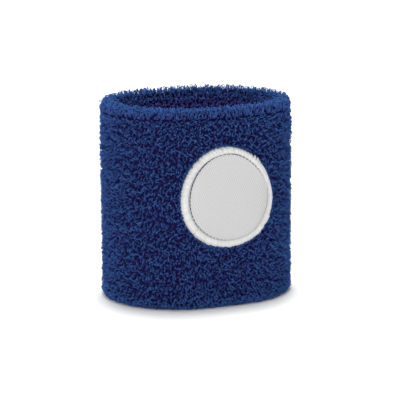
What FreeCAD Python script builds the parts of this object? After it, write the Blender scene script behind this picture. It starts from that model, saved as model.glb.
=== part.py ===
"""Terry sweat wristband: a knitted terry tube folded double and seamed below its top edge,
with elastic threads laid in its two layers and a round embroidered badge sewn on its front.

Millimetres. X runs across the band, -Y is the front, +Z is up. The origin is the centre of the
footprint. In a section of the wall, u is the distance outwards from the middle of the wall.
"""
import FreeCAD, Part
import math
import os

import Sketcher

# name: (size in millimetres, or a count, what it is)
DIMENSIONS = {
    "band_width": (78.7, "across the band, over the loops"),
    "band_depth": (62.6, "front to back, over the loops"),
    "face_radius": (145.0, "of the gently curved front and back"),
    "band_height": (80.0, "bottom edge to top edge"),
    "wall": (6.0, "both layers together, loop tips to loop tips"),
    "pile": (1.5, "depth of the terry loops"),
    "knit": (0.6, "thickness of the ground knit"),
    "slack": (0.05, "between pieces that lie on each other"),
    "foot_radius": (2.4, "rounding of the bottom edge, beside its flat foot"),
    "seam_level": (76.0, "height of the closing seam"),
    "seam_gap": (0.8, "parting of the loops at the seam"),
    "edge_thickness": (0.35, "of a raw edge turned in at the seam"),
    "edge_depth": (3.0, "how far the raw edges are turned in"),
    "elastic_thickness": (0.36, "of one elastic thread, which is square"),
    "elastic_pitch": (3.8, "from one elastic thread to the next"),
    "elastic_start": (5.5, "height of the lowest elastic thread"),
    "elastic_count": (18, "elastic threads in one layer"),
    "seam_thread": (0.14, "thickness of the overlock thread"),
    "seam_stitch": (0.5, "width of one overlock stitch"),
    "seam_stitch_count": (96, "overlock stitches round the band"),
    "badge_level": (44.4, "height of the middle of the badge"),
    "badge_radius": (20.2, "over the border"),
    "border_width": (3.1, "of the badge's border"),
    "border_stand": (1.2, "how far the border stands out of the loops"),
    "cloth_radius": (18.0, "of the badge's cloth, under the border"),
    "cloth_thickness": (0.4, "of the badge's face cloth"),
    "stiffener_thickness": (0.5, "of the badge's stiffener"),
    "film_thickness": (0.2, "of the badge's glue film"),
    "pressed_pile": (0.5, "depth of the loops flattened under the badge"),
    "cord_width": (1.2, "of the padding cord in the border"),
    "cord_height": (0.6, "of the padding cord in the border"),
    "stitch_length": (1.3, "of one stitch that holds the badge"),
    "stitch_diameter": (0.42, "of the thread that holds the badge"),
    "bobbin_diameter": (0.28, "of the thread on the back of those stitches"),
    "stitch_count": (64, "stitches that hold the badge"),
}

SHEET = "Sizes"
UP = FreeCAD.Vector(0, 0, 1)


class Size:
    """A length: the expression that FreeCAD keeps, and the value that it has now."""

    def __init__(self, text, value):
        self.text = text
        self.value = value

    def __add__(self, other):
        other = as_size(other)
        return Size(f"({self.text} + {other.text})", self.value + other.value)

    def __sub__(self, other):
        other = as_size(other)
        return Size(f"({self.text} - {other.text})", self.value - other.value)

    def __mul__(self, other):
        other = as_size(other)
        return Size(f"({self.text} * {other.text})", self.value * other.value)

    def __truediv__(self, other):
        other = as_size(other)
        return Size(f"({self.text} / {other.text})", self.value / other.value)

    def __neg__(self):
        return Size(f"(0 - {self.text})", -self.value)


def as_size(number):
    return number if isinstance(number, Size) else Size(str(number), number)


def size(name):
    return Size(f"{SHEET}.{name}", DIMENSIONS[name][0])


ZERO = as_size(0)


# The plan of the band is an oval of four tangent arcs, the same centres for every layer.
HALF_WIDTH = size("band_width") / 2
HALF_DEPTH = size("band_depth") / 2
FACE_RADIUS = size("face_radius")
END_RADIUS = (
    (FACE_RADIUS * HALF_DEPTH * 2 - HALF_WIDTH * HALF_WIDTH - HALF_DEPTH * HALF_DEPTH)
    / (FACE_RADIUS - HALF_WIDTH)
    / 2
)
END_CENTRE = HALF_WIDTH - END_RADIUS
FACE_CENTRE = FACE_RADIUS - HALF_DEPTH
CENTRES_APART = FACE_RADIUS - END_RADIUS

# The section of the wall, outwards from its middle.
HALF_WALL = size("wall") / 2
KNIT_OUT = HALF_WALL - size("pile")
KNIT_IN = KNIT_OUT - size("knit")
PILE_IN = KNIT_OUT + size("slack")
FOLD_LOW = HALF_WALL
FOLD_HIGH = size("band_height") - HALF_WALL
SEAM_LOW = size("seam_level")
SEAM_HIGH = SEAM_LOW + size("seam_gap")
EDGE_LOW = SEAM_LOW - size("edge_depth")

# The raw edges turned in at the seam: the lower one is the outer of the two.
EDGE_A_OUT = KNIT_IN - size("seam_thread") - size("slack")
EDGE_A_IN = EDGE_A_OUT - size("edge_thickness")
EDGE_B_OUT = EDGE_A_IN - size("slack") * 2
EDGE_B_IN = EDGE_B_OUT - size("edge_thickness")

# The badge, outwards from the middle of the wall.
FILM_IN = PILE_IN + size("pressed_pile")
STIFFENER_IN = FILM_IN + size("film_thickness")
CLOTH_IN = STIFFENER_IN + size("stiffener_thickness")
CLOTH_OUT = CLOTH_IN + size("cloth_thickness")
BORDER_OUT = HALF_WALL + size("border_stand")
BORDER_INNER_RADIUS = size("badge_radius") - size("border_width")

# The border stands out at the front, so the band's axis is a little behind the origin.
AXIS_BACK = size("border_stand") / 2


def make_sheet(doc):
    sheet = doc.addObject("Spreadsheet::Sheet", SHEET)
    for row, (name, (value, meaning)) in enumerate(DIMENSIONS.items(), start=1):
        sheet.set(f"A{row}", meaning)
        sheet.set(f"B{row}", str(value))
        sheet.setAlias(f"B{row}", name)
    doc.recompute()


# ---------------------------------------------------------------- sketches


def sketch_on(body, name, role):
    """An empty sketch on one of the body's own origin planes."""
    sketch = body.newObject("Sketcher::SketchObject", name)
    plane = next(item for item in body.Origin.OriginFeatures if item.Role == role)
    sketch.AttachmentSupport = [(plane, "")]
    sketch.MapMode = "FlatFace"
    return sketch


def arc_between(start, end, radius):
    """The short arc from start to end. A positive radius turns left and a negative one right."""
    if radius < 0:
        start, end = end, start
    chord = end - start
    middle = (start + end) / 2
    rise = math.sqrt(max(radius * radius - chord.Length * chord.Length / 4, 0.0))
    centre = middle + FreeCAD.Vector(-chord.y, chord.x, 0) / chord.Length * rise
    first = math.atan2(start.y - centre.y, start.x - centre.x)
    last = math.atan2(end.y - centre.y, end.x - centre.x)
    if last < first:
        last += 2 * math.pi
    return Part.ArcOfCircle(Part.Circle(centre, UP, abs(radius)), first, last)


def bind(sketch, constraint, wanted):
    """Give the newest constraint its expression."""
    index = sketch.addConstraint(constraint)
    name = f"size_{index}"
    sketch.renameConstraint(index, name)
    sketch.setExpression(f"Constraints.{name}", wanted.text)


def outline(sketch, corners):
    """A closed outline. Each corner is (across, up, radius of the arc to the next corner, or None)."""
    points = [FreeCAD.Vector(across.value, up.value, 0) for across, up, _ in corners]
    edges = []
    for index, (_, _, radius) in enumerate(corners):
        start = points[index]
        end = points[(index + 1) % len(points)]
        if radius is None:
            edge = Part.LineSegment(start, end)
            turns_left = True
        else:
            edge = arc_between(start, end, radius.value)
            turns_left = radius.value > 0
        number = sketch.addGeometry(edge, False)
        first, last = (1, 2) if turns_left else (2, 1)
        edges.append((number, first, last))
    for index, (number, _, last) in enumerate(edges):
        next_number, next_first, _ = edges[(index + 1) % len(edges)]
        sketch.addConstraint(Sketcher.Constraint("Coincident", number, last, next_number, next_first))
    for (number, first, _), (across, up, radius) in zip(edges, corners):
        bind(sketch, Sketcher.Constraint("DistanceX", -1, 1, number, first, across.value), across)
        bind(sketch, Sketcher.Constraint("DistanceY", -1, 1, number, first, up.value), up)
        if radius is not None:
            length = radius if radius.value > 0 else -radius
            bind(sketch, Sketcher.Constraint("Radius", number, length.value), length)


def oval(sketch, outwards):
    """The plan of the band at a distance outwards from the middle of the wall."""
    offset = HALF_WALL - outwards
    end = END_RADIUS - offset
    face = FACE_RADIUS - offset
    across = END_CENTRE + END_CENTRE * end / CENTRES_APART
    along = FACE_CENTRE * end / CENTRES_APART
    outline(sketch, [
        (across, -along, end),
        (across, along, face),
        (-across, along, end),
        (-across, -along, face),
    ])


def section(sketch, corners):
    """An outline in the section of the wall at the band's +X end, its corners as (u, up, radius)."""
    middle = HALF_WIDTH - HALF_WALL
    outline(sketch, [(middle + u, up, radius) for u, up, radius in corners])


# ---------------------------------------------------------------- bodies


def make_body(doc, label, moved=True):
    body = doc.addObject("PartDesign::Body", label)
    body.Label = label
    if moved:
        place(body)
    return body


def place(item):
    """Put the band's axis where it belongs behind the origin."""
    item.setExpression("Placement.Base.y", AXIS_BACK.text)


def path_of(body):
    """The middle of the wall, which every ring in the body runs along."""
    path = sketch_on(body, f"{body.Name}_path", "XY_Plane")
    oval(path, as_size(0))
    return path


def ring(body, path, name, corners, kind="AdditivePipe"):
    """A section of the wall carried all the way round the band."""
    profile = sketch_on(body, f"{name}_section", "XZ_Plane")
    section(profile, corners)
    pipe = body.newObject(f"PartDesign::{kind}", name)
    pipe.Profile = (profile, [""])
    pipe.Spine = (path, [])
    return pipe


def rectangle(inner, outer, low, high):
    return [(inner, low, None), (outer, low, None), (outer, high, None), (inner, high, None)]


def slot(half):
    """A long slot with round ends, half its width to each side of the middle of the wall."""
    return [
        (half, FOLD_LOW, None),
        (half, FOLD_HIGH, half),
        (ZERO, FOLD_HIGH + half, half),
        (-half, FOLD_HIGH, None),
        (-half, FOLD_LOW, half),
        (ZERO, FOLD_LOW - half, half),
    ]


def make_ground_knit(doc):
    """The knitted tube: two layers joined by the bottom fold and the top fold, slit at the seam."""
    body = make_body(doc, "ground_knit")
    path = path_of(body)
    ring(body, path, "folded_tube", slot(KNIT_OUT))
    ring(body, path, "between_layers", slot(KNIT_IN), kind="SubtractivePipe")
    slit = rectangle(KNIT_IN - size("slack"), KNIT_OUT + size("slack"), SEAM_LOW, SEAM_HIGH)
    ring(body, path, "seam_slit", slit, kind="SubtractivePipe")
    shelf = size("edge_thickness")
    ring(body, path, "lower_raw_edge", [
        (EDGE_A_IN, EDGE_LOW, None),
        (EDGE_A_OUT, EDGE_LOW, None),
        (EDGE_A_OUT, SEAM_LOW - shelf, None),
        (KNIT_IN + size("slack"), SEAM_LOW - shelf, None),
        (KNIT_IN + size("slack"), SEAM_LOW, None),
        (EDGE_A_IN, SEAM_LOW, None),
    ])
    ring(body, path, "upper_raw_edge", [
        (EDGE_B_IN, EDGE_LOW, None),
        (EDGE_B_OUT, EDGE_LOW, None),
        (EDGE_B_OUT, SEAM_HIGH, None),
        (KNIT_IN + size("slack"), SEAM_HIGH, None),
        (KNIT_IN + size("slack"), SEAM_HIGH + shelf, None),
        (EDGE_B_IN, SEAM_HIGH + shelf, None),
    ])
    return body


def make_wall_tube(doc, label, inner, outer, low, high, moved=True):
    """An upright tube between two ovals of the band's plan."""
    body = make_body(doc, label, moved)
    plan = sketch_on(body, f"{label}_plan", "XY_Plane")
    oval(plan, outer)
    oval(plan, inner)
    plan.setExpression("AttachmentOffset.Base.z", low.text)
    pad = body.newObject("PartDesign::Pad", f"{label}_pad")
    pad.Profile = (plan, [""])
    pad.setExpression("Length", (high - low).text)
    return body


def make_outer_pile(doc):
    """The loops on the outside, with the round bed that the badge is pressed into."""
    tube = make_wall_tube(doc, "outer_pile_tube", PILE_IN, HALF_WALL, FOLD_LOW, SEAM_LOW, moved=False)
    radius = size("badge_radius") + size("slack")
    bed = make_disc(doc, "badge_bed", radius, FILM_IN, BORDER_OUT)
    cut = doc.addObject("Part::Cut", "outer_pile")
    cut.Base = tube
    cut.Tool = bed
    place(cut)
    return cut


def make_bottom_fold_pile(doc):
    """The loops round the bottom edge, with the flat foot that the band stands on."""
    body = make_body(doc, "bottom_fold_pile")
    foot = HALF_WALL - size("foot_radius")
    ring(body, path_of(body), "bottom_fold", [
        (PILE_IN, FOLD_LOW, -PILE_IN),
        (ZERO, FOLD_LOW - PILE_IN, -PILE_IN),
        (-PILE_IN, FOLD_LOW, None),
        (-HALF_WALL, FOLD_LOW, None),
        (-HALF_WALL, size("foot_radius"), size("foot_radius")),
        (-foot, ZERO, None),
        (foot, ZERO, size("foot_radius")),
        (HALF_WALL, size("foot_radius"), None),
        (HALF_WALL, FOLD_LOW, None),
    ])
    return body


def make_top_fold_pile(doc):
    """The loops over the top edge, from the seam over the crown to the inside."""
    body = make_body(doc, "top_fold_pile")
    ring(body, path_of(body), "top_fold", [
        (PILE_IN, SEAM_HIGH, None),
        (HALF_WALL, SEAM_HIGH, None),
        (HALF_WALL, FOLD_HIGH, HALF_WALL),
        (ZERO, FOLD_HIGH + HALF_WALL, HALF_WALL),
        (-HALF_WALL, FOLD_HIGH, None),
        (-PILE_IN, FOLD_HIGH, -PILE_IN),
        (ZERO, FOLD_HIGH + PILE_IN, -PILE_IN),
        (PILE_IN, FOLD_HIGH, None),
    ])
    return body


def make_elastic(doc, label, u):
    """The elastic threads of one layer: equal rings, one above the other."""
    body = make_body(doc, label)
    body.AllowCompound = True
    half = size("elastic_thickness") / 2
    level = size("elastic_start")
    outline_of_thread = rectangle(u - half, u + half, level - half, level + half)
    thread = ring(body, path_of(body), f"{label}_ring", outline_of_thread)
    rows = body.newObject("PartDesign::LinearPattern", f"{label}_rows")
    rows.Originals = [thread]
    axis = next(item for item in body.Origin.OriginFeatures if item.Role == "Z_Axis")
    rows.Direction = (axis, [""])
    rows.setExpression("Occurrences", size("elastic_count").text)
    rows.setExpression("Length", (size("elastic_pitch") * (size("elastic_count") - 1)).text)
    body.Tip = rows
    return body


# ---------------------------------------------------------------- badge


def make_disc(doc, label, radius, inner, outer, hole=None):
    """A disc, or a ring round a hole, that follows the front of the band between two layers."""
    reach = size("badge_radius") + size("border_width")
    low = size("badge_level") - reach
    high = size("badge_level") + reach
    layer = make_wall_tube(doc, f"{label}_layer", inner, outer, low, high, moved=False)
    punch = make_punch(doc, f"{label}_punch", radius)
    if hole is not None:
        ring_punch = doc.addObject("Part::Cut", f"{label}_ring_punch")
        ring_punch.Base = punch
        ring_punch.Tool = make_punch(doc, f"{label}_hole_punch", hole)
        punch = ring_punch
    disc = doc.addObject("Part::Common", label)
    disc.Base = layer
    disc.Tool = punch
    return disc


def make_punch(doc, label, radius):
    """A round bar from the band's axis out through the front, level with the badge."""
    punch = doc.addObject("Part::Cylinder", label)
    punch.setExpression("Radius", radius.text)
    punch.setExpression("Height", size("band_depth").text)
    punch.setExpression("Placement.Base.z", size("badge_level").text)
    punch.Placement.Rotation = FreeCAD.Rotation(FreeCAD.Vector(1, 0, 0), 90)
    return punch


def make_badge_layer(doc, label, inner, outer):
    """One round layer of the badge, from the glue film to the face cloth."""
    disc = make_disc(doc, label, size("cloth_radius"), inner, outer)
    place(disc)
    return disc


def cord_limits():
    """The padding cord's inner and outer radius round the badge, and its two faces."""
    middle = size("badge_radius") - size("border_width") / 2
    half = size("cord_width") / 2
    low = CLOTH_OUT + size("slack")
    return middle - half, middle + half, low, low + size("cord_height")


def make_border_cord(doc):
    inner_radius, outer_radius, low, high = cord_limits()
    disc = make_disc(doc, "badge_border_cord", outer_radius, low, high, hole=inner_radius)
    place(disc)
    return disc


def make_border(doc):
    """The overedged border: a ring round the badge's edge, hollow for the cloth and the cord."""
    outer_radius = size("badge_radius")
    blank = make_disc(doc, "border_blank", outer_radius, FILM_IN, BORDER_OUT, hole=BORDER_INNER_RADIUS)
    room = size("slack")
    cloth_radius = size("cloth_radius") + room
    cloth_room = make_disc(doc, "border_cloth_room", cloth_radius, FILM_IN - room, CLOTH_OUT + room / 2)
    cord_inner, cord_outer, low, high = cord_limits()
    cord_hole = cord_inner - room
    cord_room = make_disc(doc, "border_cord_room", cord_outer + room, low, high + room, hole=cord_hole)
    rooms = doc.addObject("Part::Fuse", "border_rooms")
    rooms.Base = cloth_room
    rooms.Tool = cord_room
    border = doc.addObject("Part::Cut", "badge_border")
    border.Base = blank
    border.Tool = rooms
    place(border)
    return border


# ---------------------------------------------------------------- stitches


def front_frame(across, up, u):
    """A point of the band's front, and the sideways direction along the front there."""
    end_radius = (END_RADIUS - HALF_WALL).value + u
    face_radius = (FACE_RADIUS - HALF_WALL).value + u
    join = END_CENTRE.value * (1 + end_radius / CENTRES_APART.value)
    if abs(across) <= join:
        centre = FreeCAD.Vector(0, FACE_CENTRE.value, up)
        radius = face_radius
    else:
        centre = FreeCAD.Vector(math.copysign(END_CENTRE.value, across), 0, up)
        radius = end_radius
    turn = math.asin((across - centre.x) / radius)
    outward = FreeCAD.Vector(math.sin(turn), -math.cos(turn), 0)
    sideways = FreeCAD.Vector(math.cos(turn), math.sin(turn), 0)
    return centre + outward * radius, sideways


def make_badge_stitches(doc, label, u, diameter):
    """A ring of short straight stitches, just inside the badge's border."""
    ring_radius = BORDER_INNER_RADIUS.value - diameter.value
    radius = diameter.value / 2
    length = size("stitch_length").value
    count = int(size("stitch_count").value)
    stitches = []
    for index in range(count):
        turn = 2 * math.pi * index / count
        across = ring_radius * math.cos(turn)
        up = size("badge_level").value + ring_radius * math.sin(turn)
        point, sideways = front_frame(across, up, u.value)
        along = UP * math.cos(turn) - sideways * math.sin(turn)
        start = point - along * length / 2
        stitches.append(Part.makeCylinder(radius, length, start, along))
    return add_group(doc, label, stitches)


def oval_frame(share):
    """A point of the middle of the wall at a share of its whole length, and the outward direction."""
    end_radius = (END_RADIUS - HALF_WALL).value
    face_radius = (FACE_RADIUS - HALF_WALL).value
    half_end = math.atan2(FACE_CENTRE.value, END_CENTRE.value)
    half_face = math.pi / 2 - half_end
    arcs = []
    for index in range(4):
        if index % 2 == 0:
            centre = FreeCAD.Vector(END_CENTRE.value * (1 - index), 0, 0)
            arcs.append((centre, end_radius, half_end, index * math.pi / 2))
        else:
            centre = FreeCAD.Vector(0, FACE_CENTRE.value * (index - 2), 0)
            arcs.append((centre, face_radius, half_face, index * math.pi / 2))
    left = share * sum(2 * half * radius for _, radius, half, _ in arcs)
    for centre, radius, half, middle in arcs:
        if left <= 2 * half * radius:
            turn = middle - half + left / radius
            outward = FreeCAD.Vector(math.cos(turn), math.sin(turn), 0)
            return centre + outward * radius, outward
        left -= 2 * half * radius
    return oval_frame(0)


def make_seam_stitches(doc):
    """Overlock stitches: each wraps the two raw edges that are turned in at the seam."""
    thread = size("seam_thread").value
    room = size("slack").value / 2
    inner = EDGE_B_IN.value - room
    outer = EDGE_A_OUT.value + room
    low = EDGE_LOW.value - room
    high = SEAM_LOW.value - size("edge_thickness").value - room
    wrap = [
        (outer, high), (outer + thread, high), (outer + thread, low - thread),
        (inner - thread, low - thread), (inner - thread, high), (inner, high),
        (inner, low), (outer, low),
    ]
    count = int(size("seam_stitch_count").value)
    width = size("seam_stitch").value
    stitches = []
    for index in range(count):
        point, outward = oval_frame(index / count)
        tangent = UP.cross(outward)
        corners = [point + outward * u + UP * up - tangent * width / 2 for u, up in wrap]
        face = Part.Face(Part.makePolygon(corners + corners[:1]))
        stitches.append(face.extrude(tangent * width))
    return add_group(doc, "closing_seam_thread", stitches)


def add_group(doc, label, solids):
    """Many equal small pieces of one thread, kept together as separate solids."""
    group = doc.addObject("Part::Feature", label)
    group.Shape = Part.makeCompound(solids)
    place(group)
    return group


# ---------------------------------------------------------------- the whole band


def make_band(doc):
    half_elastic = size("elastic_thickness") / 2
    elastic_u = KNIT_IN - half_elastic - size("slack")
    needle = size("stitch_diameter")
    needle_u = CLOTH_OUT + needle / 2 + size("slack")
    bobbin = size("bobbin_diameter")
    bobbin_u = elastic_u - half_elastic - bobbin / 2 - size("slack")
    return [
        make_ground_knit(doc),
        make_outer_pile(doc),
        make_wall_tube(doc, "inner_pile", -HALF_WALL, -PILE_IN, FOLD_LOW, FOLD_HIGH),
        make_top_fold_pile(doc),
        make_bottom_fold_pile(doc),
        make_elastic(doc, "outer_elastic_threads", elastic_u),
        make_elastic(doc, "inner_elastic_threads", -elastic_u),
        make_seam_stitches(doc),
        make_badge_layer(doc, "badge_glue_film", FILM_IN, STIFFENER_IN),
        make_badge_layer(doc, "badge_stiffener", STIFFENER_IN, CLOTH_IN),
        make_badge_layer(doc, "badge_face_cloth", CLOTH_IN, CLOTH_OUT),
        make_border(doc),
        make_border_cord(doc),
        make_badge_stitches(doc, "badge_stitches", needle_u, needle),
        make_badge_stitches(doc, "badge_bobbin_thread", bobbin_u, bobbin),
    ]


def check(doc, pieces):
    for item in doc.Objects:
        bad = [state for state in item.State if state in ("Invalid", "Error")]
        if bad:
            raise RuntimeError(f"{item.Label} is {bad}")
    for piece in pieces:
        shape = piece.Shape
        if shape.isNull() or not shape.isValid() or not shape.Solids:
            raise RuntimeError(f"{piece.Label} has no valid solid")
        print(f"{piece.Label}: {len(shape.Solids)} solids, {shape.Volume:.1f} mm3")


def main():
    doc = FreeCAD.newDocument("sweat_wristband")
    make_sheet(doc)
    pieces = make_band(doc)
    doc.recompute()
    check(doc, pieces)
    os.makedirs("parts", exist_ok=True)
    for piece in pieces:
        piece.Shape.exportStep(f"parts/{piece.Label}.step")


main()
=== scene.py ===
"""The looks of the sweat wristband: yarn loops rooted in the ground knit on both faces of the folded
tube, loops combed up over its top edge from the closing seam, and a woven badge with a stitched border.

Metres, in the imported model's frame: X across, -Y the front, Z up. Places on the fabric are given as
(s, v, h): s runs round the band from the middle of the front, v runs along the wall's section from
the seam down the outside, round the bottom edge, up the inside and over the top edge back to the
seam, and h is the height over the skin of the ground knit.
"""
import math

import bpy
import numpy as np
from mathutils import Matrix, Vector


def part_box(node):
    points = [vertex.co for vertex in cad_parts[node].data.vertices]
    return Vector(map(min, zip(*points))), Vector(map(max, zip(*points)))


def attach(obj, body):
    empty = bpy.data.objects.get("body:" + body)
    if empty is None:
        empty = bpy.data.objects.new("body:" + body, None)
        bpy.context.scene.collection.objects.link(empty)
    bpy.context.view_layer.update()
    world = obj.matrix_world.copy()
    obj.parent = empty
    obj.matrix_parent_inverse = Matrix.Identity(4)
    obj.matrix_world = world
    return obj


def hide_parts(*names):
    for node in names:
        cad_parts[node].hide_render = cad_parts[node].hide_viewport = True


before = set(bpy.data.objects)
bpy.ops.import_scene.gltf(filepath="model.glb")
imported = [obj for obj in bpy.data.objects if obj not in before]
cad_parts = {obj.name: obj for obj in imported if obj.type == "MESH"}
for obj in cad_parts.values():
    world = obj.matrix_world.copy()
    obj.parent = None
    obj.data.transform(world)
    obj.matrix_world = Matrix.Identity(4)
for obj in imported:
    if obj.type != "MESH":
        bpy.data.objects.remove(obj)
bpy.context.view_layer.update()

MM = 0.001
rng = np.random.default_rng(20)

# ------------------------------------------------------------------ the band's own sizes

PILE_LOW, PILE_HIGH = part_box("outer_pile")
KNIT_LOW, KNIT_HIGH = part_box("ground_knit")
TOP_LOW, TOP_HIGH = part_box("top_fold_pile")
BORDER_LOW, BORDER_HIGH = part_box("badge_border")
CLOTH_LOW, CLOTH_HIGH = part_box("badge_face_cloth")

FACE_RADIUS = 145 * MM
HALF_WIDTH = (PILE_HIGH.x - PILE_LOW.x) / 2
HALF_DEPTH = (PILE_HIGH.y - PILE_LOW.y) / 2
AXIS_Y = (PILE_HIGH.y + PILE_LOW.y) / 2
HEIGHT = TOP_HIGH.z
HALF_WALL = 3 * MM
PILE = HALF_WIDTH - (KNIT_HIGH.x - KNIT_LOW.x) / 2
KNIT_HALF = HALF_WALL - PILE
KNIT_THICKNESS = 0.6 * MM
SEAM_Z = PILE_HIGH.z
FOLD_LOW = HALF_WALL
FOLD_HIGH = HEIGHT - HALF_WALL

END_RADIUS = (
    (2 * FACE_RADIUS * HALF_DEPTH - HALF_WIDTH**2 - HALF_DEPTH**2) / (2 * (FACE_RADIUS - HALF_WIDTH))
)
END_CENTRE = HALF_WIDTH - END_RADIUS
FACE_CENTRE = FACE_RADIUS - HALF_DEPTH
HALF_FACE = math.atan2(END_CENTRE, FACE_CENTRE)

# Round the plan: s along the knit's outer skin, against the turn of the outward normal from -Y.
FACE_RUN = (FACE_RADIUS - PILE) * HALF_FACE
END_RUN = (END_RADIUS - PILE) * (math.pi - 2 * HALF_FACE)
S_KNOTS = np.cumsum([0, FACE_RUN, END_RUN, 2 * FACE_RUN, END_RUN, FACE_RUN])
TURN_KNOTS = np.array([
    0, HALF_FACE, math.pi - HALF_FACE, math.pi + HALF_FACE, 2 * math.pi - HALF_FACE, 2 * math.pi,
])
ROUND = S_KNOTS[-1]

# Round the section: where v passes onto each straight and each fold.
FOLD_RUN = math.pi * KNIT_HALF
V_BOTTOM = SEAM_Z - FOLD_LOW
V_INSIDE = V_BOTTOM + FOLD_RUN
V_CREST = V_INSIDE + FOLD_HIGH - FOLD_LOW
V_OUTSIDE = V_CREST + FOLD_RUN
V_END = V_OUTSIDE + FOLD_HIGH - SEAM_Z

BADGE_Z = (BORDER_HIGH.z + BORDER_LOW.z) / 2
BADGE_RADIUS = (BORDER_HIGH.z - BORDER_LOW.z) / 2
CLOTH_RADIUS = (CLOTH_HIGH.z - CLOTH_LOW.z) / 2
CLOTH_TOP = 1.65 * MM
CLOTH_THICKNESS = 0.35 * MM
V_BADGE = SEAM_Z - BADGE_Z


def plan(s, u):
    """Points (x, y) at s round the band and u out of the middle of the wall."""
    turn = np.interp(np.mod(s, ROUND), S_KNOTS, TURN_KNOTS)
    arc = (np.searchsorted(TURN_KNOTS, turn, side="right") - 1) % 4
    centre_x = np.choose(arc, [0, END_CENTRE, 0, -END_CENTRE])
    centre_y = np.choose(arc, [FACE_CENTRE, 0, -FACE_CENTRE, 0])
    radius = np.where(arc % 2 == 0, FACE_RADIUS, END_RADIUS) - HALF_WALL + u
    return centre_x + radius * np.sin(turn), AXIS_Y + centre_y - radius * np.cos(turn)


def section(v):
    """The ground knit's skin in the section of the wall: (u, z), and the skin's normal (out, rise)."""
    v = np.mod(v, V_END)
    down = np.clip(v, 0, V_BOTTOM)
    low_turn = np.clip(v - V_BOTTOM, 0, FOLD_RUN) / KNIT_HALF
    up = np.clip(v - V_INSIDE, 0, FOLD_HIGH - FOLD_LOW)
    high_turn = np.clip(v - V_CREST, 0, FOLD_RUN) / KNIT_HALF
    back_down = np.clip(v - V_OUTSIDE, 0, None)
    out = np.cos(low_turn + high_turn)
    rise = np.sin(high_turn) - np.sin(low_turn)
    z = SEAM_Z - down + up - back_down + KNIT_HALF * rise
    return KNIT_HALF * out, z, out, rise


def place(s, v, h):
    """Points in the frame at s, v and h over the skin of the ground knit."""
    u, z, out, rise = section(v)
    x, y = plan(s, u + h * out)
    return np.stack([x, y, z + h * rise], axis=-1)


# ------------------------------------------------------------------ meshes

UV_NAME = "OFBake"
CELL_MARGIN = 0.06


def new_mesh(name, points, faces, material, uv, tint=None):
    """A smooth mesh object from points, face arrays (faces, corners), a UV for each corner and, for
    yarn, a tint for each point: share of the tallest loops' height, chance, share of its length."""
    corners = np.concatenate([face.ravel() for face in faces]).astype(np.int32)
    sizes = np.concatenate([np.full(len(face), face.shape[1]) for face in faces])
    starts = (np.cumsum(sizes) - sizes).astype(np.int32)
    mesh = bpy.data.meshes.new(name)
    mesh.vertices.add(len(points))
    mesh.vertices.foreach_set("co", np.ascontiguousarray(points, np.float32).ravel())
    mesh.loops.add(len(corners))
    mesh.loops.foreach_set("vertex_index", corners)
    mesh.polygons.add(len(starts))
    mesh.polygons.foreach_set("loop_start", starts)
    mesh.update(calc_edges=True)
    mesh.shade_smooth()
    layer = mesh.uv_layers.new(name=UV_NAME)
    layer.uv.foreach_set("vector", np.ascontiguousarray(uv, np.float32).ravel())
    if tint is not None:
        attribute = mesh.color_attributes.new(name="yarn", type="FLOAT_COLOR", domain="POINT")
        colour = np.concatenate([tint, np.ones((len(tint), 1))], axis=1)
        attribute.data.foreach_set("color", np.ascontiguousarray(colour, np.float32).ravel())
    mesh.materials.append(material)
    piece = bpy.data.objects.new(name, mesh)
    bpy.context.collection.objects.link(piece)
    return piece


def unit(vectors):
    return vectors / np.maximum(np.linalg.norm(vectors, axis=-1, keepdims=True), 1e-12)


def tubes(name, lines, guide, radius, sides, material, rise, chance):
    """Closed yarn tubes along lines (tubes, points, 3). guide (tubes, 3) is about square to the tubes'
    planes, and radius and rise are (tubes, points). Each tube has its own cell in the UV map."""
    count, length, _ = lines.shape
    along = unit(np.gradient(lines, axis=1))
    across = unit(np.cross(along, guide[:, None, :]))
    beside = np.cross(along, across)
    turn = np.arange(sides) * 2 * math.pi / sides
    ring = across[:, :, None] * np.cos(turn)[:, None] + beside[:, :, None] * np.sin(turn)[:, None]
    points = lines[:, :, None] + ring * radius[:, :, None, None]

    index = np.arange(count * length * sides).reshape(count, length, sides)
    after = np.roll(index, -1, axis=2)
    walls = np.stack([index[:, :-1], after[:, :-1], after[:, 1:], index[:, 1:]], axis=-1)

    cells = math.ceil(math.sqrt(count))
    cell = np.stack([np.arange(count) % cells, np.arange(count) // cells], axis=-1)
    side = np.arange(sides)
    step = np.arange(length - 1)
    shape = (count, length - 1, sides, 4)
    wall_u = np.broadcast_to(np.stack([side, side + 1, side + 1, side], axis=-1) / sides, shape)
    wall_v = np.stack([step, step, step + 1, step + 1], axis=-1)[:, None, :] / (length - 1)
    wall_uv = np.stack([wall_u, np.broadcast_to(wall_v, shape)], axis=-1)
    cap_uv = np.stack([side / sides, np.zeros(sides)], axis=-1)
    share = 1 - 2 * CELL_MARGIN
    corner = cell + CELL_MARGIN
    uv = np.concatenate([
        (corner[:, None, None, None] + wall_uv * share).reshape(-1, 2),
        (corner[:, None] + cap_uv[::-1] * share).reshape(-1, 2),
        (corner[:, None] + (cap_uv + [0, 1]) * share).reshape(-1, 2),
    ]) / cells

    tint = np.empty((count, length, sides, 3))
    tint[..., 0] = rise[:, :, None]
    tint[..., 1] = chance[:, None, None]
    tint[..., 2] = np.linspace(0, 1, length)[None, :, None]
    faces = [walls.reshape(-1, 4), index[:, 0, ::-1], index[:, -1]]
    return new_mesh(name, points.reshape(-1, 3), faces, material, uv, tint.reshape(-1, 3))


def dress(piece, node):
    """Ride the band and stand for the CAD node, which is hidden."""
    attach(piece, "root")
    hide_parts(node)
    return piece


# ------------------------------------------------------------------ materials

FIBRES_PER_MAP = 700
FIBRE_SHADES = (0.8, 1.2)
BUMP_STRENGTH = 0.4
FIBRE_RELIEF = 0.05 * MM


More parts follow.
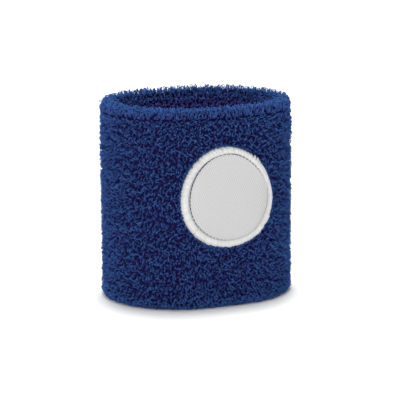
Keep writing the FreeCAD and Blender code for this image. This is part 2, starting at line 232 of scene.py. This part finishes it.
def new_material(name, roughness, specular):
    material = bpy.data.materials.new(name)
    material.use_nodes = True
    shader = material.node_tree.nodes["Principled BSDF"]
    shader.inputs["Roughness"].default_value = roughness
    shader.inputs["Specular IOR Level"].default_value = specular
    return material, material.node_tree.nodes, material.node_tree.links, shader


def add_ramp(nodes, stops):
    """A colour ramp with a stop for each (position, colour)."""
    node = nodes.new("ShaderNodeValToRGB")
    elements = node.color_ramp.elements
    elements[0].position = stops[0][0]
    elements[1].position = stops[1][0]
    for position, _ in stops[2:]:
        elements.new(position)
    for element, (_, colour) in zip(elements, stops):
        element.color = (*colour, 1)
    return node


def add_bump(nodes, links, height, shader, distance):
    bump = nodes.new("ShaderNodeBump")
    bump.inputs["Strength"].default_value = BUMP_STRENGTH
    bump.inputs["Distance"].default_value = distance
    links.new(height, bump.inputs["Height"])
    links.new(bump.outputs[0], shader.inputs["Normal"])


def yarn_material(name, stops, spread, sheen, sheen_tint):
    """Spun yarn: its colour goes by the height in its loop, with painted shade where it lies low,
    differs from loop to loop and is mottled by its fibres."""
    material, nodes, links, shader = new_material(name, roughness=0.9, specular=0.06)
    tint = nodes.new("ShaderNodeAttribute")
    tint.attribute_name = "yarn"
    parts = nodes.new("ShaderNodeSeparateColor")
    links.new(tint.outputs["Color"], parts.inputs[0])
    depth = add_ramp(nodes, stops)
    links.new(parts.outputs["Red"], depth.inputs[0])

    where = nodes.new("ShaderNodeUVMap")
    where.uv_map = UV_NAME
    fibres = nodes.new("ShaderNodeTexNoise")
    fibres.inputs["Scale"].default_value = FIBRES_PER_MAP
    fibres.inputs["Detail"].default_value = 2
    links.new(where.outputs[0], fibres.inputs["Vector"])

    by_loop = nodes.new("ShaderNodeMapRange")
    by_loop.inputs["To Min"].default_value = 1 - spread
    by_loop.inputs["To Max"].default_value = 1 + spread
    links.new(parts.outputs["Green"], by_loop.inputs[0])
    by_fibre = nodes.new("ShaderNodeMapRange")
    by_fibre.inputs["From Min"].default_value = 0.3
    by_fibre.inputs["From Max"].default_value = 0.7
    by_fibre.inputs["To Min"].default_value = FIBRE_SHADES[0]
    by_fibre.inputs["To Max"].default_value = FIBRE_SHADES[1]
    links.new(fibres.outputs[0], by_fibre.inputs[0])
    brightness = nodes.new("ShaderNodeMath")
    brightness.operation = "MULTIPLY"
    links.new(by_loop.outputs[0], brightness.inputs[0])
    links.new(by_fibre.outputs[0], brightness.inputs[1])
    mottled = nodes.new("ShaderNodeVectorMath")
    mottled.operation = "SCALE"
    links.new(depth.outputs[0], mottled.inputs[0])
    links.new(brightness.outputs[0], mottled.inputs["Scale"])
    links.new(mottled.outputs[0], shader.inputs["Base Color"])

    add_bump(nodes, links, fibres.outputs[0], shader, FIBRE_RELIEF)
    shader.inputs["Sheen Weight"].default_value = sheen
    shader.inputs["Sheen Roughness"].default_value = 0.4
    shader.inputs["Sheen Tint"].default_value = (*sheen_tint, 1)
    return material


def mottled_material(name, colour, roughness, grain, depth):
    """A matt surface with a fine grain in its colour and its relief."""
    material, nodes, links, shader = new_material(name, roughness, specular=0.1)
    where = nodes.new("ShaderNodeTexCoord")
    noise = nodes.new("ShaderNodeTexNoise")
    noise.inputs["Scale"].default_value = 1 / grain
    noise.inputs["Detail"].default_value = 3
    links.new(where.outputs["Object"], noise.inputs["Vector"])
    darker = [0.8 * part for part in colour]
    lighter = [min(1.2 * part, 1.0) for part in colour]
    shades = add_ramp(nodes, [(0.3, darker), (0.7, lighter)])
    links.new(noise.outputs[0], shades.inputs[0])
    links.new(shades.outputs[0], shader.inputs["Base Color"])
    add_bump(nodes, links, noise.outputs[0], shader, depth)
    return material


# The loop yarn darkens and turns violet from tip to root: painted shade deep between the loops.
ROOT_BLUE = (0.0130, 0.0080, 0.0950)
MID_BLUE = (0.0310, 0.0510, 0.2100)
TIP_BLUE = (0.0430, 0.1120, 0.3400)
INNER_ROOT_BLUE = (0.042, 0.020, 0.185)
INNER_MID_BLUE = (0.082, 0.077, 0.350)
INNER_TIP_BLUE = (0.117, 0.164, 0.560)
SHEEN = 0.03
SHEEN_BLUE = (0.4, 0.6, 1.0)
WHITE = (1.0, 1.0, 1.0)

TERRY = yarn_material(
    "terry_yarn", [(0.1, ROOT_BLUE), (0.5, MID_BLUE), (0.85, TIP_BLUE)],
    spread=0.25, sheen=SHEEN, sheen_tint=SHEEN_BLUE,
)
# Paler than the outside, to make up for how little light reaches down into the opening.
INNER_TERRY = yarn_material(
    "inner_terry_yarn", [(0.1, INNER_ROOT_BLUE), (0.5, INNER_MID_BLUE), (0.9, INNER_TIP_BLUE)],
    spread=0.2, sheen=SHEEN, sheen_tint=SHEEN_BLUE,
)
# The ground knit is coloured darker than the loops' yarn: painted shade down between the loops.
KNIT = mottled_material("ground_knit_yarn", (0.0110, 0.0060, 0.0650), 0.95, 0.5 * MM, 0.1 * MM)
# Grey where the stitches lie low and near white where they stand high: painted shade on the border's
# slopes.
BORDER_YARN = yarn_material(
    "border_yarn", [(0.0, (0.47, 0.47, 0.47)), (0.8, (0.72, 0.72, 0.715))],
    spread=0.06, sheen=0.0, sheen_tint=WHITE,
)
NAVY_THREAD = mottled_material("navy_thread", (0.013, 0.020, 0.080), 0.6, 0.2 * MM, 0.05 * MM)
# Lighter on the weave's crowns and darker in its hollows: painted shade over the weave's relief.
BADGE_CLOTH = yarn_material(
    "badge_cloth", [(0.0, (0.48, 0.48, 0.48)), (1.0, (0.68, 0.68, 0.68))],
    spread=0.0, sheen=0.0, sheen_tint=WHITE,
)

ELASTIC = mottled_material("elastic_cover", (0.0070, 0.0030, 0.0350), 0.8, 0.3 * MM, 0.05 * MM)
STIFFENER = mottled_material("badge_stiffener_felt", (0.55, 0.55, 0.53), 0.9, 0.4 * MM, 0.05 * MM)
GLUE = mottled_material("badge_glue", (0.50, 0.49, 0.45), 0.5, 0.6 * MM, 0.02 * MM)
CORD = mottled_material("border_cord_cotton", (0.62, 0.62, 0.60), 0.9, 0.3 * MM, 0.05 * MM)
UNSEEN = {
    "outer_elastic_threads": ELASTIC,
    "inner_elastic_threads": ELASTIC,
    "closing_seam_thread": NAVY_THREAD,
    "badge_bobbin_thread": NAVY_THREAD,
    "badge_border_cord": CORD,
    "badge_stiffener": STIFFENER,
    "badge_glue_film": GLUE,
}


def dye_unseen():
    """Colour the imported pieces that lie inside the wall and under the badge."""
    for node, material in UNSEEN.items():
        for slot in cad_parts[node].material_slots:
            slot.material = material


# ------------------------------------------------------------------ terry loops

YARN_RADIUS = 0.135 * MM
ROOT_DEPTH = 0.25 * MM
TALLEST = 1.8 * MM
LOOP_TWIST = 2.4
TWIST_SPREAD = 0.9
FLOOR_GAP = 0.03 * MM
BADGE_OVERLAP = 0.4 * MM


def grid(s_step, v_low, v_high, v_step, jitter):
    """Roots of loops in courses, every other course shifted by half a step, then jittered."""
    courses = max(round((v_high - v_low) / v_step), 1)
    columns = round(ROUND / s_step)
    course, column = np.meshgrid(np.arange(courses), np.arange(columns), indexing="ij")
    s = (column + 0.5 * (course % 2)) * ROUND / columns
    v = v_low + (course + 0.5) * (v_high - v_low) / courses
    s = s + rng.uniform(-jitter, jitter, s.shape) * s_step
    v = v + rng.uniform(-jitter, jitter, v.shape) * v_step
    return s.ravel(), v.ravel()


# The shape of a loop: how steeply it rises, how wide its feet and its belly are, how late it leans.
RISE_POWER = 0.7
FEET = 0.45
BELLY = 0.65
LEAN_POWER = 1.4


def loop_lines(s, v, height, half_width, heading, twist, lean_s, lean_v, swell=1.0, points=10, bend=0):
    """Centre lines of loops rooted at (s, v). A loop stands in the plane of its heading, twists on its
    way up, leans over by lean_s and lean_v and bends sideways by bend. Returns the lines, their guides
    and the points' heights as a share of the tallest loops'."""
    along = np.linspace(0, 1, points)
    rise = np.sin(math.pi * along) ** RISE_POWER
    swing = -np.cos(math.pi * along) * (FEET + BELLY * np.sin(math.pi * along))
    turn = heading[:, None] + twist[:, None] * rise
    reach = half_width[:, None] * swing
    lean = rise**LEAN_POWER
    bow = np.reshape(bend, (-1, 1)) * np.sin(1.5 * math.pi * lean)
    ds = reach * np.cos(turn) + lean_s[:, None] * lean + bow
    dv = reach * np.sin(turn) + lean_v[:, None] * lean
    h = (height[:, None] + ROOT_DEPTH) * rise**swell - ROOT_DEPTH
    lines = place(s[:, None] + ds, v[:, None] + dv, h)
    middle = heading + twist / 2
    aside = place(s - np.sin(middle) * 0.1 * MM, v + np.cos(middle) * 0.1 * MM, 0 * s)
    guide = unit(aside - place(s, v, 0 * s))
    return lines, guide, np.clip(h / TALLEST, 0, 1)


# Slow waves over the fabric: (length, way, start).
RIPPLES = [
    (rng.uniform(6, 22) * MM, rng.uniform(0, math.pi), rng.uniform(0, 2 * math.pi))
    for _ in range(9)
]


def ripple(s, v):
    """Slow unevenness over the fabric, about -1 to 1."""
    waves = [
        np.sin((s * math.cos(way) + v * math.sin(way)) * 2 * math.pi / length + start)
        for length, way, start in RIPPLES
    ]
    return sum(waves) / math.sqrt(len(waves))


def flopped(s, v, height, width, flop, upward=0.0, points=10):
    """Loops that have flopped mostly up or down the band, their legs twisted round each other as the
    yarn is spun. upward (0 to 1) is how many of the ones that would flop down flop up instead."""
    count = len(s)
    tall = height * (rng.normal(1, 0.14, count) + 0.08 * ripple(s, v))
    half_width = width * rng.uniform(0.7, 1.3, count)
    heading = rng.uniform(0, 2 * math.pi, count)
    twist = rng.normal(LOOP_TWIST, TWIST_SPREAD, count)
    way = np.where(rng.random(count) < 0.5 - 0.5 * upward, 1, -1)
    off = rng.normal(0, 0.26, count)
    far = flop * rng.uniform(0.5, 1.5, count)
    lean_s = far * np.sin(off)
    lean_v = way * far * np.cos(off)
    bend = rng.normal(0, 0.25, count) * MM
    return loop_lines(s, v, tall, half_width, heading, twist, lean_s, lean_v, points=points, bend=bend)


def tinted(made, low, span):
    """Loops with their colour shifted: low at their roots and low + span at the tallest tips. The
    ramp's dark low end is painted shade, so low sets how much of it their roots get.
    """
    lines, guide, rise = made
    return lines, guide, low + span * rise


def sector_pieces(name, s, made, radius, node, sectors=1, sides=5, yarn=TERRY):
    """One piece for each sector of the band, so that none is too large to export whole."""
    lines, guide, rise = made
    sector = np.floor(np.mod(s, ROUND) / ROUND * sectors).astype(int)
    pieces = []
    for number in range(sectors):
        own = sector == number
        count = int(own.sum())
        thick = radius * rng.uniform(0.85, 1.15, (count, 1)) * np.ones((1, lines.shape[1]))
        line = lines[own]
        line[..., 2] = np.maximum(line[..., 2], radius + FLOOR_GAP)
        title = f"{name}_{number + 1}"
        piece = tubes(title, line, guide[own], thick, sides, yarn, rise[own], rng.random(count))
        pieces.append(dress(piece, node))
    return pieces


# The badge as sewn is a little out of round.
ROUNDNESS = ((2, -0.25 * MM, -0.50 * MM), (3, 0.30 * MM, -0.45 * MM))


def out_of_round(angle):
    """How far the badge's outline lies outside its round shape, angle from +X towards up."""
    return sum(a * np.cos(times * angle) + b * np.sin(times * angle) for times, a, b in ROUNDNESS)


def beside_badge(s, v):
    """Which of these roots the badge leaves free."""
    around = (s + ROUND / 2) % ROUND - ROUND / 2
    edge = BADGE_RADIUS + out_of_round(np.arctan2(V_BADGE - v, around))
    return np.hypot(around, v - V_BADGE) > edge - BADGE_OVERLAP


def outer_loops():
    """The outside, from the seam down to the bottom fold: long loops that lie over each other."""
    s, v = grid(
        s_step=1.05 * MM, v_low=1.3 * MM, v_high=V_BOTTOM + 0.6 * MM, v_step=1.15 * MM, jitter=0.4,
    )
    keep = beside_badge(s, v)
    s, v = s[keep], v[keep]
    made = flopped(s, v, height=1.8 * MM, width=0.2 * MM, flop=1.2 * MM, points=13)
    return sector_pieces("outer_loops", s, made, YARN_RADIUS, "outer_pile", sectors=10)


def outer_under_loops():
    """Shorter loops that fill the outside between and below the long ones."""
    s, v = grid(s_step=1.0 * MM, v_low=1.0 * MM, v_high=V_BOTTOM, v_step=1.0 * MM, jitter=0.4)
    keep = beside_badge(s, v)
    s, v = s[keep], v[keep]
    made = flopped(s, v, height=0.95 * MM, width=0.22 * MM, flop=0.8 * MM, points=7)
    return sector_pieces(
        "outer_under_loops", s, made, YARN_RADIUS * 0.9, "outer_pile", sectors=5, sides=4,
    )


def badge_edge_loops():
    """A ring of taller loops that the edge of the badge has pushed up."""
    step = 0.5 * MM
    count = round(2 * math.pi * BADGE_RADIUS / step)
    angle = (np.arange(count) + rng.uniform(-0.3, 0.3, count)) * 2 * math.pi / count
    reach = BADGE_RADIUS + out_of_round(angle) + rng.uniform(0.0, 0.6, count) * MM
    s, v = reach * np.cos(angle), V_BADGE - reach * np.sin(angle)
    toward = rng.uniform(-0.3, 0.5, count) * MM
    made = loop_lines(
        s, v,
        height=1.75 * MM * rng.normal(1, 0.1, count),
        half_width=0.2 * MM * rng.uniform(0.7, 1.3, count),
        heading=rng.uniform(0, math.pi, count),
        twist=rng.normal(0, 0.8, count),
        lean_s=-toward * np.cos(angle),
        lean_v=toward * np.sin(angle),
    )
    return sector_pieces("badge_edge_loops", s, made, YARN_RADIUS * 1.1, "outer_pile")


def seam_edge_loops():
    """The first courses below the seam, most of them flopped up towards it."""
    s, v = grid(s_step=0.9 * MM, v_low=0.2 * MM, v_high=2.3 * MM, v_step=0.7 * MM, jitter=0.35)
    made = flopped(s, v, height=1.4 * MM, width=0.22 * MM, flop=0.9 * MM, upward=0.4)
    return sector_pieces("seam_edge_loops", s, made, YARN_RADIUS, "outer_pile")


def bottom_loops():
    """Thick close loops round the bottom edge, which the band stands on."""
    s, v = grid(s_step=0.75 * MM, v_low=V_BOTTOM, v_high=V_INSIDE, v_step=0.5 * MM, jitter=0.35)
    made = flopped(s, v, height=1.7 * MM, width=0.28 * MM, flop=0.8 * MM, points=9)
    return sector_pieces("bottom_loops", s, made, YARN_RADIUS * 1.35, "bottom_fold_pile", sides=4)


def inner_loops():
    """The inside: shorter, closer loops, flattened by wear. Their colour is painted paler and their
    roots
    less dark than outside: painted light for the little light that reaches into the opening.
    """
    s, v = grid(s_step=0.9 * MM, v_low=V_INSIDE, v_high=V_CREST, v_step=0.8 * MM, jitter=0.4)
    made = flopped(s, v, height=1.1 * MM, width=0.22 * MM, flop=1.0 * MM, points=7)
    return sector_pieces(
        "inner_loops", s, tinted(made, 0.3, 0.6), YARN_RADIUS * 1.2, "inner_pile",
        sectors=8, sides=4, yarn=INNER_TERRY,
    )


def at_back(s):
    """0 in the middle of the front, 1 in the middle of the back and at half of that at the ends."""
    return 0.5 - 0.5 * np.cos(2 * math.pi * s / ROUND)


def crest_loops():
    """Open loops that stand up side by side along the top edge, tallest at the back."""
    apex = (V_CREST + V_OUTSIDE) / 2
    s, v = grid(
        s_step=1.55 * MM, v_low=apex - 1.2 * MM, v_high=apex + 1.2 * MM, v_step=0.8 * MM, jitter=0.25,
    )
    count = len(s)
    made = loop_lines(
        s, v,
        height=(2.3 + 0.65 * at_back(s)) * MM * rng.uniform(0.85, 1.12, count),
        half_width=0.6 * MM * rng.uniform(0.8, 1.2, count),
        heading=rng.normal(0, 0.4, count),
        twist=rng.normal(0, 0.4, count),
        lean_s=rng.normal(0, 0.3, count) * MM,
        lean_v=rng.normal(0, 0.3, count) * MM,
        points=15,
    )
    return sector_pieces("crest_loops", s, made, YARN_RADIUS * 1.3, "top_fold_pile")


def crest_fill():
    """Short loops all over the top edge, between the feet of the open ones."""
    s, v = grid(
        s_step=0.85 * MM, v_low=V_CREST - 1.0 * MM, v_high=V_OUTSIDE - 0.3 * MM, v_step=0.75 * MM,
        jitter=0.4,
    )
    made = flopped(s, v, height=(1.5 + 0.5 * at_back(s)) * MM, width=0.24 * MM, flop=0.7 * MM)
    return sector_pieces("crest_fill", s, tinted(made, 0.15, 0.7), YARN_RADIUS, "top_fold_pile")


def combed_loops():
    """Long narrow loops pulled up from the seam over the top edge. They gather in fans at the seam,
    with dark gaps between the fans: real shade and the ground knit's painted shade."""
    fan_pitch = 2.6 * MM
    strand_pitch = 0.07 * MM
    fans = round(ROUND / fan_pitch)
    strands = 7
    fan = np.repeat(np.arange(fans), strands)
    strand = np.tile(np.arange(strands), fans) - (strands - 1) / 2
    count = len(fan)
    middle = (fan + rng.uniform(-0.22, 0.22, fans)[fan]) * ROUND / fans
    s = middle + strand * strand_pitch
    v = V_END - 0.55 * MM + rng.uniform(-0.25, 0.25, count) * MM
    made = loop_lines(
        s, v,
        height=1.5 * MM * rng.normal(1, 0.2, count),
        half_width=0.16 * MM * rng.uniform(0.6, 1.5, count),
        heading=rng.uniform(0, 2 * math.pi, count),
        twist=rng.normal(LOOP_TWIST, TWIST_SPREAD, count),
        lean_s=strand * 0.30 * MM + rng.normal(0, 0.22, count) * MM,
        lean_v=-rng.uniform(0.5, 1.8, count) * MM,
        swell=0.6, points=13, bend=rng.normal(0, 0.2, count) * MM,
    )
    return sector_pieces(
        "combed_loops", s, tinted(made, 0.2, 0.58), YARN_RADIUS * 0.9, "top_fold_pile",
    )


def combed_fill():
    """Shorter loops behind the fans, rooted above the gaps and combed the same way."""
    s, v = grid(
        s_step=0.8 * MM, v_low=V_OUTSIDE - 1.8 * MM, v_high=V_OUTSIDE - 0.4 * MM, v_step=0.6 * MM,
        jitter=0.35,
    )
    count = len(s)
    made = loop_lines(
        s, v,
        height=1.55 * MM * rng.normal(1, 0.2, count),
        half_width=0.2 * MM * rng.uniform(0.7, 1.4, count),
        heading=rng.uniform(0, 2 * math.pi, count),
        twist=rng.normal(LOOP_TWIST, TWIST_SPREAD, count),
        lean_s=rng.normal(0, 0.4, count) * MM,
        lean_v=-rng.uniform(0.1, 1.2, count) * MM,
        swell=0.7, bend=rng.normal(0, 0.25, count) * MM,
    )
    return sector_pieces(
        "combed_fill", s, tinted(made, 0.15, 0.65), YARN_RADIUS * 0.9, "top_fold_pile",
    )


# ------------------------------------------------------------------ ground knit


def ground_knit():
    """The folded tube under the loops: the knit's skin all round the section, and its back."""
    step = 1.2 * MM
    columns = round(ROUND / step)
    just_short = 1e-7  # at V_END itself v would start again
    skin = np.linspace(0, V_END - just_short, round(V_END / step))
    v = np.concatenate([skin, skin[::-1]])[:, None]
    h = np.concatenate([0 * skin, 0 * skin - KNIT_THICKNESS])[:, None]
    s = np.arange(columns)[None, :] * ROUND / columns
    points = place(s + 0 * v, v + 0 * s, h + 0 * s)
    index = np.arange(points.shape[0] * columns).reshape(-1, columns)
    after = np.roll(index, -1, axis=1)
    walls = np.stack([index, np.roll(index, -1, axis=0), np.roll(after, -1, axis=0), after], axis=-1)
    row, column = np.meshgrid(np.arange(len(v)), np.arange(columns), indexing="ij")
    uv = np.stack([
        np.stack([column, column, column + 1, column + 1], axis=-1) / columns,
        np.stack([row, row + 1, row + 1, row], axis=-1) / len(v),
    ], axis=-1)
    piece = new_mesh("knit_tube", points.reshape(-1, 3), [walls.reshape(-1, 4)], KNIT, uv)
    return dress(piece, "ground_knit")


# ------------------------------------------------------------------ badge

# The border is narrower at the upper right. At RAGGED_TURN its stitches stick out in teeth, and at
# PROUD_TURN the stitches in the ditch show most.
BORDER_WIDTH = 2.35 * MM
BORDER_NARROWER = 0.55 * MM
BORDER_INSET = 0.3 * MM
BORDER_STITCHES = 330
BORDER_YARN_RADIUS = 0.27 * MM
BORDER_SLANT = 0.04
NARROW_TURN = math.radians(30)
PROUD_TURN = math.radians(140)
RAGGED_TURN = math.radians(52)
RAGGED_SPAN = 0.16
TEETH = 80
TEETH_REACH = 0.9
TEETH_LIFT = 1.1 * MM
WARP_PITCH = 0.97 * MM
WEFT_PITCH = 1.9 * MM
WEAVE_RELIEF = 0.04 * MM
LOCK_STITCHES = 64
LOCK_STITCH_LENGTH = 1.45 * MM


def badge_point(radius, angle, h):
    """Points of the badge: radius from its middle, angle from +X towards up, h over the knit's skin."""
    reach = radius * (1 + out_of_round(angle) / BADGE_RADIUS)
    return place(reach * np.cos(angle), V_BADGE - reach * np.sin(angle), h)


def border_width(angle):
    return BORDER_WIDTH - BORDER_NARROWER * np.cos(angle - NARROW_TURN)


def badge_face():
    """The face cloth: its weave is a relief of dots, staggered from row to row."""
    lanes = 170
    side = np.linspace(-1, 1, lanes)
    across, up = np.meshgrid(side, side)
    x = (CLOTH_RADIUS + 0.3 * MM) * across * np.sqrt(1 - up * up / 2)
    y = (CLOTH_RADIUS + 0.3 * MM) * up * np.sqrt(1 - across * across / 2)
    warp = np.cos(2 * math.pi * (x - 0.12 * y) / WARP_PITCH)
    weft = np.cos(2 * math.pi * (y - 0.04 * x) / WEFT_PITCH)
    weave = warp * weft
    relief = WEAVE_RELIEF * weave
    radius, angle = np.hypot(x, y), np.arctan2(y, x)
    tops = badge_point(radius, angle, CLOTH_TOP + relief).reshape(-1, 3)
    lows = badge_point(radius, angle, CLOTH_TOP - CLOTH_THICKNESS + 0 * x).reshape(-1, 3)
    index = np.arange(lanes * lanes).reshape(lanes, lanes)
    quads = np.stack([index[:-1, :-1], index[:-1, 1:], index[1:, 1:], index[1:, :-1]], axis=-1)
    quads = quads.reshape(-1, 4)
    edge = np.concatenate([index[0, :-1], index[:-1, -1], index[-1, :0:-1], index[:0:-1, 0]])
    under = lanes * lanes
    rim = np.stack([edge, edge + under, np.roll(edge, -1) + under, np.roll(edge, -1)], axis=-1)
    spot = np.stack([across.ravel() + 1, up.ravel() + 1], axis=-1) / 2
    uv = np.concatenate([
        spot[quads].reshape(-1, 2) * [0.48, 1],
        spot[quads[:, ::-1]].reshape(-1, 2) * [0.48, 1] + [0.52, 0],
        np.tile([0.49, 0.5], (len(rim) * 4, 1)),
    ])
    faces = [quads, quads[:, ::-1] + under, rim]
    # The weave's hollows are painted darker than its crowns: painted shade over the relief.
    weave_shading = (weave.ravel() + 1) / 2
    tint = np.tile(np.stack([weave_shading, 0 * weave_shading, 0 * weave_shading], axis=-1), (2, 1))
    piece = new_mesh("badge_weave", np.concatenate([tops, lows]), faces, BADGE_CLOTH, uv, tint)
    return dress(piece, "badge_face_cloth")


def badge_border():
    """Overedge stitches laid side by side, high beside the face and sloping down outwards."""
    stitches = BORDER_STITCHES
    angle = (np.arange(stitches) * 2 * math.pi / stitches)[:, None]
    share = np.array([[0.02, 0.0, 0.09, 0.22, 0.36, 0.52, 0.70, 0.86, 0.97, 1.0]])
    stand = np.array([[-0.3, 0.1, 0.45, 0.65, 0.7, 0.6, 0.35, 0.05, -0.35, -0.75]]) * MM
    width = border_width(angle)
    ragged = np.exp(-((angle - RAGGED_TURN) / RAGGED_SPAN) ** 2)
    rough = 0.5 - 0.5 * np.cos(angle - PROUD_TURN)
    clump = np.repeat(rng.uniform(-1, 1, stitches // 5), 5)[:, None]
    uneven = (0.05 + 0.12 * rough) * rng.normal(0, 1, (stitches, 1)) + 0.2 * rough * clump
    over = (uneven + TEETH_REACH * ragged * np.cos(TEETH * angle)) * MM
    radius = BADGE_RADIUS - BORDER_INSET - width + width * share + over * share**2
    slant = BORDER_SLANT * (share - 0.5) + rng.normal(0, 0.004, (stitches, 1))
    lift = stand + rng.normal(0, 0.05, (stitches, 1)) * MM + TEETH_LIFT * ragged * share**2
    lines = badge_point(radius, angle + slant, CLOTH_TOP + lift)
    flat = angle[:, 0]
    ditch = BADGE_RADIUS - BORDER_WIDTH
    guide = unit(badge_point(ditch, flat + 0.01, 0 * flat) - badge_point(ditch, flat, 0 * flat))
    thick = BORDER_YARN_RADIUS * rng.uniform(0.85, 1.15, (stitches, 1)) * np.ones_like(share)
    # The stitches' colour follows their height: grey low on the slopes as painted shade, white on the
    # crest.
    high = np.clip((stand / MM + 0.5) / 1.3, 0, 1) * np.ones((stitches, 1))
    piece = tubes("border_stitches", lines, guide, thick, 6, BORDER_YARN, high, rng.random(stitches))
    return dress(piece, "badge_border")


def lock_stitches():
    """The thread that sews the badge on, a dash for each stitch in the ditch inside the border."""
    count = LOCK_STITCHES
    angle = (np.arange(count) * 2 * math.pi / count)[:, None]
    along = np.linspace(-0.5, 0.5, 7)[None, :]
    proud = 0.5 + 0.5 * np.cos(angle - PROUD_TURN)
    inside_border = (0.25 + 0.5 * proud) * MM
    radius = BADGE_RADIUS - BORDER_INSET - border_width(angle) - inside_border
    length = LOCK_STITCH_LENGTH / radius
    height = CLOTH_TOP + (0.35 * proud - 0.15) * MM - 0.35 * MM * (2 * np.abs(along)) ** 4
    lines = badge_point(radius + 0 * along, angle + along * length, height)
    flat, ditch = angle[:, 0], radius[:, 0]
    guide = unit(badge_point(ditch + 0.1 * MM, flat, 0 * flat) - badge_point(ditch, flat, 0 * flat))
    thick = (0.08 + 0.09 * proud) * MM * np.ones_like(along)
    rise = np.ones((count, along.shape[1]))
    piece = tubes("lock_stitches", lines, guide, thick, 6, NAVY_THREAD, rise, rng.random(count))
    return dress(piece, "badge_stitches")


# ------------------------------------------------------------------ floor, light and camera


FLOOR_HALF = 4.0
FLOOR_WHITE = (0.88, 0.88, 0.88, 1)


def add_floor():
    half = FLOOR_HALF
    mesh = bpy.data.meshes.new("floor")
    corners = [(-half, -half, 0), (half, -half, 0), (half, half, 0), (-half, half, 0)]
    mesh.from_pydata(corners, [], [(0, 1, 2, 3)])
    material, _, _, shader = new_material("floor_paper", roughness=0.95, specular=0.0)
    shader.inputs["Base Color"].default_value = FLOOR_WHITE
    mesh.materials.append(material)
    plane = bpy.data.objects.new("floor", mesh)
    bpy.context.collection.objects.link(plane)


def add_sun(name, azimuth, elevation, strength, softness):
    """A soft sun. Azimuth 0 shines from the front and 90 from the right, in degrees."""
    turn, climb = math.radians(azimuth), math.radians(elevation)
    source = Vector((
        math.sin(turn) * math.cos(climb),
        -math.cos(turn) * math.cos(climb),
        math.sin(climb),
    ))
    data = bpy.data.lights.new(name, "SUN")
    data.energy = strength
    data.angle = math.radians(softness)
    light = bpy.data.objects.new(name, data)
    light.rotation_euler = source.to_track_quat("Z", "Y").to_euler()
    bpy.context.collection.objects.link(light)


ROOM_LIGHT = 0.43
PAPER_TOP = math.sin(math.radians(4.5))
# A strip of light overhead, from above the band to behind it: (elevation in degrees, strength).
OVERHEAD = ((88, 0.85), (84, 0.80), (80, 0.70), (75, 0.55))
BEHIND = 156


def add_world():
    """White paper up to just over the horizon, and a dimmer white room above it."""
    world = bpy.data.worlds.new("studio")
    world.use_nodes = True
    nodes, links = world.node_tree.nodes, world.node_tree.links
    background = nodes["Background"]
    background.inputs["Color"].default_value = (1, 1, 1, 1)
    way = nodes.new("ShaderNodeTexCoord")
    parts = nodes.new("ShaderNodeSeparateXYZ")
    by_height = nodes.new("ShaderNodeMapRange")
    by_height.inputs["From Min"].default_value = PAPER_TOP
    by_height.inputs["From Max"].default_value = 2 * PAPER_TOP
    by_height.inputs["To Min"].default_value = 1.0
    by_height.inputs["To Max"].default_value = ROOM_LIGHT
    links.new(way.outputs["Generated"], parts.inputs[0])
    links.new(parts.outputs["Z"], by_height.inputs[0])
    links.new(by_height.outputs[0], background.inputs["Strength"])
    bpy.context.scene.world = world


def add_lights():
    for elevation, strength in OVERHEAD:
        add_sun(f"overhead_{elevation}", BEHIND, elevation, strength, softness=12)
    add_sun("front", azimuth=-45, elevation=28, strength=1.1, softness=40)


CAMERA_TURN = math.radians(-24.2)
CAMERA_RISE = math.radians(11.5)
CAMERA_ROLL = math.radians(-0.35)
CAMERA_DISTANCE = 747.2 * MM
CAMERA_ASIDE = 1.5 * MM
CAMERA_ABOVE = -2.0 * MM
FOCAL_LENGTH = 163.67
SENSOR = 36.0


def add_camera():
    back = Vector((
        math.sin(CAMERA_TURN) * math.cos(CAMERA_RISE),
        -math.cos(CAMERA_TURN) * math.cos(CAMERA_RISE),
        math.sin(CAMERA_RISE),
    ))
    right = Vector((math.cos(CAMERA_TURN), math.sin(CAMERA_TURN), 0))
    up = back.cross(right)
    target = Vector((0, AXIS_Y, HEIGHT / 2)) + right * CAMERA_ASIDE + up * CAMERA_ABOVE
    tilt = Matrix.Rotation(CAMERA_ROLL, 3, back)
    right, up = tilt @ right, tilt @ up
    data = bpy.data.cameras.new("camera")
    data.lens = FOCAL_LENGTH
    data.sensor_width = SENSOR
    data.clip_start = 0.01
    view = bpy.data.objects.new("camera", data)
    turned = Matrix((right, up, back)).transposed().to_4x4()
    view.matrix_world = Matrix.Translation(target + back * CAMERA_DISTANCE) @ turned
    bpy.context.collection.objects.link(view)
    bpy.context.scene.camera = view


# ------------------------------------------------------------------ all of it

bpy.context.scene.view_settings.view_transform = "Standard"
add_camera()
add_world()
add_lights()
add_floor()
dye_unseen()
knit = ground_knit()
terry = outer_loops() + outer_under_loops() + badge_edge_loops() + seam_edge_loops()
terry += bottom_loops() + inner_loops() + crest_loops() + crest_fill() + combed_loops()
terry += combed_fill()
face = badge_face()
border = badge_border()
stitches = lock_stitches()
